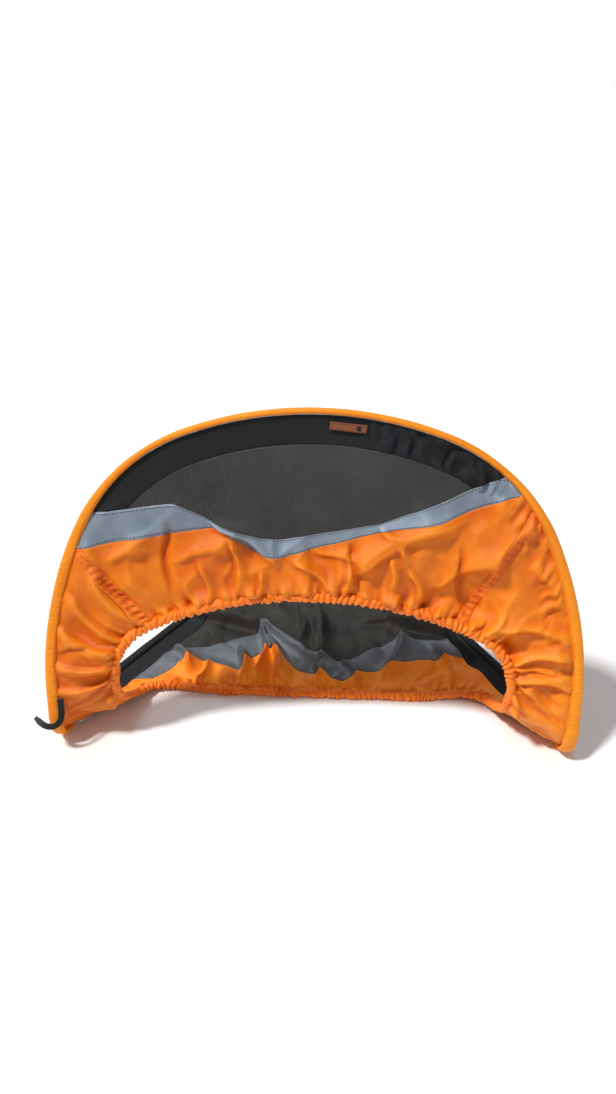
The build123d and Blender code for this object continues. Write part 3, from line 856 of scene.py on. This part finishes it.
steel = Nodes("spring_steel")
steel.link(steel.ramp(steel.noise(120.0), [(0.3, srgb(120, 124, 130)), (0.7, srgb(172, 176, 182))]),
           steel.shader.inputs["Base Color"])
steel.link(steel.plus(steel.noise(300.0), 0.25, 0.2), steel.shader.inputs["Roughness"])
steel.set(Metallic=1.0)
steel.bump(steel.noise(700.0, stretch=(1, 1, 8)), 0.00005, 0.3)


def dress(made, nodes):
    made.data.materials.clear()
    made.data.materials.append(nodes.material)
    return made


# ---- pull tab, a short loose webbing end
TAB_ROUTE = (
    (-305.6, -211.5, 74.5), (-305.2, -215.2, 65.0), (-304.6, -219.3, 55.5), (-306.5, -224.6, 47.5),
    (-314.0, -228.8, 43.5), (-323.0, -229.2, 44.5), (-331.0, -225.5, 47.0), (-338.5, -219.5, 49.0),
)
route = bpy.data.curves.new("tab_route", "CURVE")
route.dimensions = "3D"
spline = route.splines.new("NURBS")
spline.points.add(len(TAB_ROUTE) - 1)
for point, place in zip(spline.points, TAB_ROUTE):
    point.co = (*(c * MM for c in place), 1.0)
spline.order_u = 3
spline.use_endpoint_u = True
route.resolution_u = 8
holder = new_object("tab_route", route)
line_mesh = bpy.data.meshes.new_from_object(holder)
tab_line = np.array([v.co for v in line_mesh.vertices], float) / MM
bpy.data.objects.remove(holder)
bpy.data.meshes.remove(line_mesh)

tab_along = unit(np.gradient(tab_line, axis=0))
tab_s = Curve(tab_line).s
face_on = np.array([0.35, -0.75, 0.55])
tab_out = unit(face_on - (tab_along @ face_on)[:, None] * tab_along)
tab_across = np.cross(tab_along, tab_out)
angle = full_turn(20)
wide = 3.8 - 1.3 * smooth(0.86, 1.0, tab_s / tab_s[-1])
tab_thick = 1.15 + 0.35 * np.cos(2 * angle)[None] + 0.12 * np.sin(tab_s * 2.2)[:, None]
tab_section = np.stack([
    np.sign(np.cos(angle))[None] * np.abs(np.cos(angle))[None] ** 0.6 * wide[:, None],
    np.sin(angle)[None] * tab_thick,
], -1)
tab = ring_object("pull_tab_webbing", tab_line, tab_across, tab_out, tab_section, closed=False)
dress(tab, webbing)
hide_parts("pull_tab")
bending(tab)

# ---- hoop sleeve, wire and elastic at the tips
sleeve_points, sleeve_across, sleeve_out = dense_ring(
    front_hoop_line(), rear_hoop_line(), TIP_RADIUS, HALF_SPAN, 1.6)
s_ring, ring_length = around(sleeve_points)
tip_near = np.exp(-((np.abs(sleeve_points[:, 0]) - HALF_SPAN) / 26) ** 2)
tip_near = tip_near * np.exp(-((sleeve_points[:, 2] - 30) / 60) ** 2) * (sleeve_points[:, 1] < FOLD_Y + 110)
crown_near = smooth(FRONT_LENGTH * 0.55, FRONT_LENGTH * 0.95, sleeve_points[:, 2] / math.cos(LEAN))
sleeve_wide = SLEEVE_WIDTH + 0.6 - 6.4 * crown_near + 3.8 * tip_near
sleeve_shift = (SLEEVE_WIDTH - sleeve_wide) / 2
HALF_THICK = SLEEVE_THICK / 2 - 0.3
angle = full_turn(28)
cosine, sine = np.cos(angle)[None, :], np.sin(angle)[None, :]
turns = round(ring_length / 6.0)
skew = s_ring[:, None] / ring_length * turns * 2 * math.pi + 1.9 * angle[None, :]
patchy = 0.35 + 0.65 * smooth(-0.3, 0.5, noise(s_ring / 60.0, 0.5, 4))[:, None]
pucker = 0.34 * np.sin(skew + 1.8 * noise(s_ring[:, None] / 16.0, angle[None, :] * 0.6, 6)) * patchy
pucker += 0.34 * noise(s_ring[:, None] / 24.0, cosine * 1.5 + 3 * sine, 14)
section = np.stack([
    np.sign(cosine) * np.abs(cosine) ** 0.85 * (sleeve_wide[:, None] / 2 + pucker) + sleeve_shift[:, None],
    sine * (HALF_THICK + pucker) * (1 - 0.12 * cosine),
], -1)
sleeve = ring_object("hoop_sleeve", sleeve_points, sleeve_across, sleeve_out, section)
dress(sleeve, binding)
# Inside, the rear half's sleeve is faced with the same black cloth as the panel next to it.
sleeve.data.materials.append(black_facing.material)
for face in sleeve.data.polygons:
    inwards = -face.normal.x * face.center.x - face.normal.y * face.center.y
    if face.center.y > (FOLD_Y + 50) * MM and face.center.z < 0.02:
        face.material_index = int(face.center.z > (1.6 if inwards > 0 else 6.0) * MM)
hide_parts("sleeve_front", "sleeve_rear", "sleeve_tip_left", "sleeve_tip_right")
bending(sleeve)


def round_section(count, radius, sides=14):
    a = full_turn(sides)
    return np.broadcast_to(np.stack([np.cos(a), np.sin(a)], -1) * radius, (count, sides, 2)).copy()


# The wire at the tips runs on a little, straight, past each end of its bend.
PAST_END = 0.12
turn = np.linspace(-PAST_END, FOLD + PAST_END, 40)
before, after = turn < 0, turn > FOLD
for word, side in (("left", -1), ("right", 1)):
    line = on_bend(side * HALF_SPAN, TIP_RADIUS, np.clip(turn, 0, FOLD))
    line[before] += np.array([0, 1, 0]) * TIP_RADIUS * (-turn[before])[:, None]
    line[after] += np.array([0, math.sin(LEAN), math.cos(LEAN)]) * TIP_RADIUS * (turn[after] - FOLD)[:, None]
    along = unit(np.gradient(line, axis=0))
    side_way = np.broadcast_to(np.array([1.0, 0, 0]), line.shape)
    tip = ring_object(f"spring_tip_{word}", line, side_way, np.cross(side_way, along),
                      round_section(len(line), WIRE_RADIUS), closed=False)
    dress(tip, steel)
    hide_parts("spring_tips")
    bending(tip)

# ---- gathered hem round the elastic
ring_places = np.linspace(0, rim_round, len(rim_ring), endpoint=False)
hem_across, hem_out = ring_frame(rim_ring, eased(read(ring_places, rim_s, normals), 12.0, RIM_STEP))
s_ring, ring_length = around(rim_ring)
angle = full_turn(24)
cosine, sine = np.cos(angle)[None, :], np.sin(angle)[None, :]


def ring_wave(wave, y, seed):
    return ring_noise(s_ring[:, None], ring_length, wave, y, seed)


turns = round(ring_length / 7.6)
phase = (s_ring / ring_length)[:, None] * turns * 2 * math.pi
phase = phase + 6.2 * ring_wave(24.0, angle[None, :] * 0.3, 15)
phase = phase + 2.4 * ring_wave(9.0, angle[None, :] * 0.4, 6)
strong = 0.25 + 1.15 * smooth(-0.7, 0.7, ring_wave(26.0, 2.5, 17))
gather = strong * (2.3 * np.abs(np.sin(phase / 2 + 0.4)) ** 0.7 - 1.2)
gather += 1.1 * ring_wave(6.0, angle[None, :] * 1.2, 16)
radius = np.maximum(HEM_RADIUS + 0.1 + gather, ELASTIC_RADIUS + 0.7)
section = np.stack([cosine * radius * 1.2 + 1.0, sine * radius], -1)
hem = ring_object("elastic_hem", rim_ring, hem_across, hem_out, section)
dress(hem, hem_cloth)
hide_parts("hem_front", "hem_rear", "hem_end_left", "hem_end_right")
bending(hem)
cord_ring = ring_object("elastic_ring", rim_ring, hem_across, hem_out,
                        round_section(len(rim_ring), ELASTIC_RADIUS, 12))
dress(cord_ring, rubber)
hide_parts("elastic_front", "elastic_rear", "elastic_ends")
bending(cord_ring)

# ---- cloth panels
index = np.arange(COLUMNS)
front_index, rear_index = np.flatnonzero(in_front), np.flatnonzero(in_rear)
left_rim_s = rim_front.length - front_rim_s


def near_column(lengths, target):
    return front_index[np.abs(lengths - target).argmin()]


# The columns where the seam strips begin and end, from the right tip round to the left one.
cut = [near_column(front_rim_s, RIGHT_STRIP[0] + edge) for edge in (-STRIP_HALF, STRIP_HALF)]
cut += [near_column(left_rim_s, LEFT_STRIP[0] + edge) for edge in (STRIP_HALF, -STRIP_HALF)]


def span_of(first, last):
    return (index >= first) & (index <= last)


LEAST_SHARE = 0.31


def sheet_of(made):
    """Work out the flat size that a panel's own outline gives; nothing is done with it."""
    co = np.array([v.co for v in made.data.vertices])
    width, deep, tall = co.max(0) - co.min(0)
    length = math.hypot(deep, tall)
    area = min(sum(p.area for p in made.data.polygons), width * length)
    if area < LEAST_SHARE * width * length:
        length = area / (LEAST_SHARE * width)


def panel(name, zone, keep, material, nodes):
    made = zone_object(name, zone, keep)
    dress(made, material)
    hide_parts(*nodes)
    bending(made)
    sheet_of(made)
    return made


SKIRT, BAND, NET, FACING = range(4)
panel("skirt_front_cloth", SKIRT, span_of(cut[1], cut[2]), shell, ["skirt_front"])
panel("seam_strip_right_tape", SKIRT, span_of(cut[0], cut[1]), tape, ["seam_strip_right"])
panel("seam_strip_left_tape", SKIRT, span_of(cut[2], cut[3]), tape, ["seam_strip_left"])
right_side = span_of(front_index[0], cut[0]) | (index >= rear_index[-1])
panel("side_gusset_right_cloth", SKIRT, right_side, shell, ["side_gusset_right", "tip_gusset_right"])
left_side = span_of(cut[3], rear_index[0])
panel("side_gusset_left_cloth", SKIRT, left_side, shell, ["side_gusset_left", "tip_gusset_left"])
panel("band_front_cloth", BAND, in_front, grey, ["reflective_band_front"])
panel("net_front", NET, in_front, net, ["mesh_window_front"])
panel("facing_front_cloth", FACING, in_front, black_facing, ["mesh_facing_front"])
panel("skirt_rear_cloth", SKIRT, in_rear, rear_skirt_painted_light, ["skirt_rear"])
panel("band_rear_cloth", BAND, in_rear, grey_band_painted_shade, ["reflective_band_rear"])
panel("net_rear", NET, in_rear, net_rear, ["mesh_panel_rear"])
panel("facing_rear_cloth", FACING, in_rear, black_facing, ["facing_rear"])

# ---- stitching
STITCH_SHARE = 0.68  # how much of the pitch is thread, the rest being the gap


def stitches(name, line, normals, nodes, pitch=4.2, thread=0.32, lift=0.45):
    """A row of short thread stitches, laid just proud of the cloth."""
    curve, normal_at = Curve(line), Curve(normals)
    normal_at.s = curve.s
    count = int(curve.length / pitch)
    rings, sides, points, faces = (-1.0, -0.8, 0.0, 0.8, 1.0), 6, [], []
    for i in range(count):
        middle = (i + 0.5) * curve.length / count
        for ring in rings:
            at = middle + ring * STITCH_SHARE * pitch / 2
            place, up = curve.at(at), normal_at.at(at)
            ahead = curve.at(min(at + 0.5, curve.length)) - curve.at(max(at - 0.5, 0))
            ahead /= np.linalg.norm(ahead)
            side = np.cross(ahead, up)
            side /= np.linalg.norm(side)
            size, sink = (thread * 0.35, 0.5 * thread) if abs(ring) == 1 else (thread, 0)
            for k in range(sides):
                a = 2 * math.pi * k / sides
                points.append(place + up * (lift + math.sin(a) * size - sink) + side * math.cos(a) * size)
        faces += capped_faces(i * len(rings) * sides, len(rings), sides)
    made = mesh_from(name, points, faces)
    dress(made, nodes)
    return made


pick = slice(3, ZONE_STARTS[1] - 1)
inside = cut + np.array([2, -2, 2, -2])  # two columns in from the strips' edges
for word, column in zip(("right_outer", "right_inner", "left_inner", "left_outer"), inside):
    seam = stitches(f"seam_stitching_{word}", cloth[column, pick], normal[column, pick], thread_orange)
    bending(seam)
on = np.flatnonzero(in_front & (high_t - low_t > 0.03) & (low_t < 0.97))
for word, row in (("lower", ZONE_STARTS[1] + 1), ("upper", ZONE_STARTS[2] - 1)):
    seam = stitches(f"front_band_{word}_stitching", cloth[on, row], normal[on, row], thread_dark, pitch=4.6)
    bending(seam)
shown = (sleeve_points[:, 1] < FOLD_Y + 45) | (sleeve_points[:, 2] > 20)
hidden = np.flatnonzero(~shown)  # the rear half, where the row stops
order = np.r_[hidden[-1] + 1:len(shown), 0:hidden[0]]
EDGE_IN = 1.9  # the row's distance from the sleeve's inner edge
edge_share = 1 - EDGE_IN / (sleeve_wide / 2)
sleeve_top = np.sqrt(1 - np.clip(edge_share, 0, 1) ** 2.35) * HALF_THICK * (1 + 0.12 * edge_share)
inner_edge = sleeve_points - sleeve_across * (sleeve_wide / 2 - EDGE_IN - sleeve_shift)[:, None]
inner_edge = inner_edge + sleeve_out * sleeve_top[:, None]
seam = stitches("sleeve_stitching", inner_edge[order], sleeve_out[order], thread_orange, pitch=4.4, lift=0.1)
bending(seam)

# ---- woven label
low, high = box_mm("woven_label")
centre = (low + high) / 2
LABEL_WIDE, LABEL_TALL = 41.0, 9.0
tilt = math.radians(-5.2)
right, up = np.array([1.0, 0, 0]), np.array([0, math.sin(LEAN), math.cos(LEAN)])
label_x = right * math.cos(tilt) + up * math.sin(tilt)
label_y = -right * math.sin(tilt) + up * math.cos(tilt)


def on_label(x, y, proud):
    return centre + label_x * x + label_y * y + FRONT_NORMAL * proud


cols, rows = 40, 10
points, faces = [], []
for i in range(cols + 1):
    for j in range(rows + 1):
        x, y = (i / cols - 0.5) * LABEL_WIDE, (j / rows - 0.5) * LABEL_TALL
        bow = 0.5 * math.sin(i / cols * math.pi) + 0.25 * float(noise(x / 9.0, y / 9.0, 18))
        points.append(on_label(x, y, 1.6 + bow))
for a in range(cols * (rows + 1)):
    if a % (rows + 1) < rows:
        faces.append((a, a + rows + 1, a + rows + 2, a + 1))
label = mesh_from("woven_label_patch", points, faces)
label.modifiers.new("thickness", "SOLIDIFY").thickness = 0.6 * MM
dress(label, label_cloth)
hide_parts("woven_label")
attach(label, "front_half")

MARK_PLACE, MARK_RADIUS, MARK_TALL = 11.5, 2.7, 0.55
LABEL_FACE = 2.3  # how far the mark and the stitches stand from the label's centre
rings, sides = 7, 28
points = []
for k in range(rings):
    slope = math.radians(15 * k)
    ring_radius = max(MARK_RADIUS * math.cos(slope), 0.02)
    for a in full_turn(sides):
        points.append(on_label(MARK_PLACE + ring_radius * math.cos(a), ring_radius * math.sin(a),
                               LABEL_FACE + MARK_TALL * math.sin(slope)))
mark = mesh_from("label_round_mark", points, capped_faces(0, rings, sides))
dress(mark, thread_dark)
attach(mark, "front_half")
outline = np.array([on_label((LABEL_WIDE / 2 - 1.2) * i, (LABEL_TALL / 2 - 1.1) * j, LABEL_FACE)
                    for i, j in ((-1, -1), (1, -1), (1, 1), (-1, 1), (-1, -1))])
seam = stitches("label_stitching", outline, np.broadcast_to(FRONT_NORMAL, outline.shape), thread_dark,
                pitch=2.4, thread=0.25, lift=0.2)
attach(seam, "front_half")

# ---- carried-over parts inside the casings
for node in ("spring_hoop_front", "spring_hoop_rear", "splice_ferrule"):
    dress(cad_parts[node], steel)

# ---- floor and light
REACH = 200.0
floor_mesh = bpy.data.meshes.new("floor")
corners = [(i * REACH, j * REACH, 0) for i, j in ((-1, -1), (1, -1), (1, 1), (-1, 1))]
floor_mesh.from_pydata(corners, [], [(0, 1, 2, 3)])
floor = new_object("floor", floor_mesh)
pale = Nodes("pale_floor")
pale.link(pale.ramp(pale.noise(1.5), [(0.3, srgb(238, 238, 237)), (0.7, srgb(243, 243, 242))]),
          pale.shader.inputs["Base Color"])
pale.set(Roughness=0.9)
floor.data.materials.append(pale.material)

world = bpy.data.worlds.new("studio")
bpy.context.scene.world = world
world.use_nodes = True
tree = world.node_tree
lit, paper = tree.nodes["Background"], tree.nodes.new("ShaderNodeBackground")
for node, colour, strength in ((lit, (248, 249, 252), 0.29), (paper, (246, 246, 247), 0.85)):
    node.inputs["Color"].default_value = srgb(*colour)
    node.inputs["Strength"].default_value = strength
# The camera sees the pale paper; everything else is lit by the dimmer world.
seen, path = tree.nodes.new("ShaderNodeMixShader"), tree.nodes.new("ShaderNodeLightPath")
tree.links.new(path.outputs["Is Camera Ray"], seen.inputs["Fac"])
tree.links.new(lit.outputs[0], seen.inputs[1])
tree.links.new(paper.outputs[0], seen.inputs[2])
tree.links.new(seen.outputs[0], tree.nodes["World Output"].inputs["Surface"])


def light(name, kind, place, target, power, size, colour=(1, 1, 1)):
    data = bpy.data.lights.new(name, kind)
    data.energy, data.color = power, colour
    if kind == "SUN":
        data.angle = size
    else:
        data.shape, data.size = "DISK", size
    lamp = new_object(name, data)
    lamp.location = place
    lamp.rotation_euler = (Vector(target) - Vector(place)).to_track_quat("-Z", "Y").to_euler()


light("key", "SUN", (-1.15, -0.45, 2.0), (0, 0, 0), 2.62, math.radians(7))
light("fill", "AREA", (1.5, -1.3, 0.9), (0, 0, 0.15), 3.0, 1.4)
light("rim", "AREA", (-0.6, 1.4, 1.3), (0, 0, 0.2), 7.0, 1.0)
